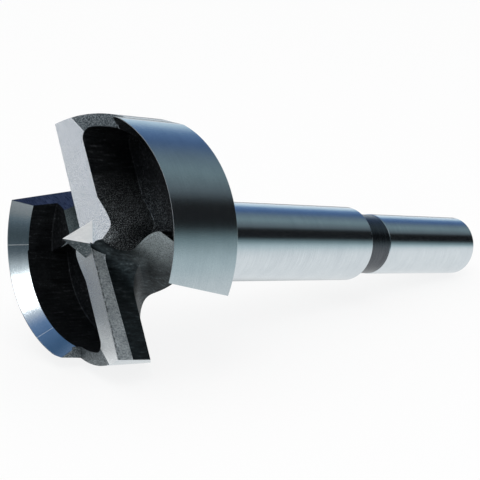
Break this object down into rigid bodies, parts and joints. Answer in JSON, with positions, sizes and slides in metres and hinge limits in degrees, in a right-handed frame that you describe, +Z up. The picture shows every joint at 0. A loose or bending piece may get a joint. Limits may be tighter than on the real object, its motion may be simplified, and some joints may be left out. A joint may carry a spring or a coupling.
{
  "type": "forstner bit",
  "caption": "Forstner bit for 35 mm hinge-cup holes: winged head with cutting lips, curved rim spurs, chip gullets, a pyramid centre point, and a round shank.",
  "frame": {"origin": "middle of the bit's box in plan, at the floor it lies on", "axes": "+X along the bit towards the shank's end, +Y across it, +Z up; the bit lies on the back edge of its head and the end of its shank, so its axis slopes down towards the shank"},
  "size_m": [0.0894, 0.035, 0.0359],
  "materials": {
    "ground_steel": "fine-ground tool steel, left black from the forge in the pockets and gullets and on a short band before the shank"
  },
  "bodies": {
    "root": {"forstner_bit": "ground_steel"}
  },
  "joints": []
}
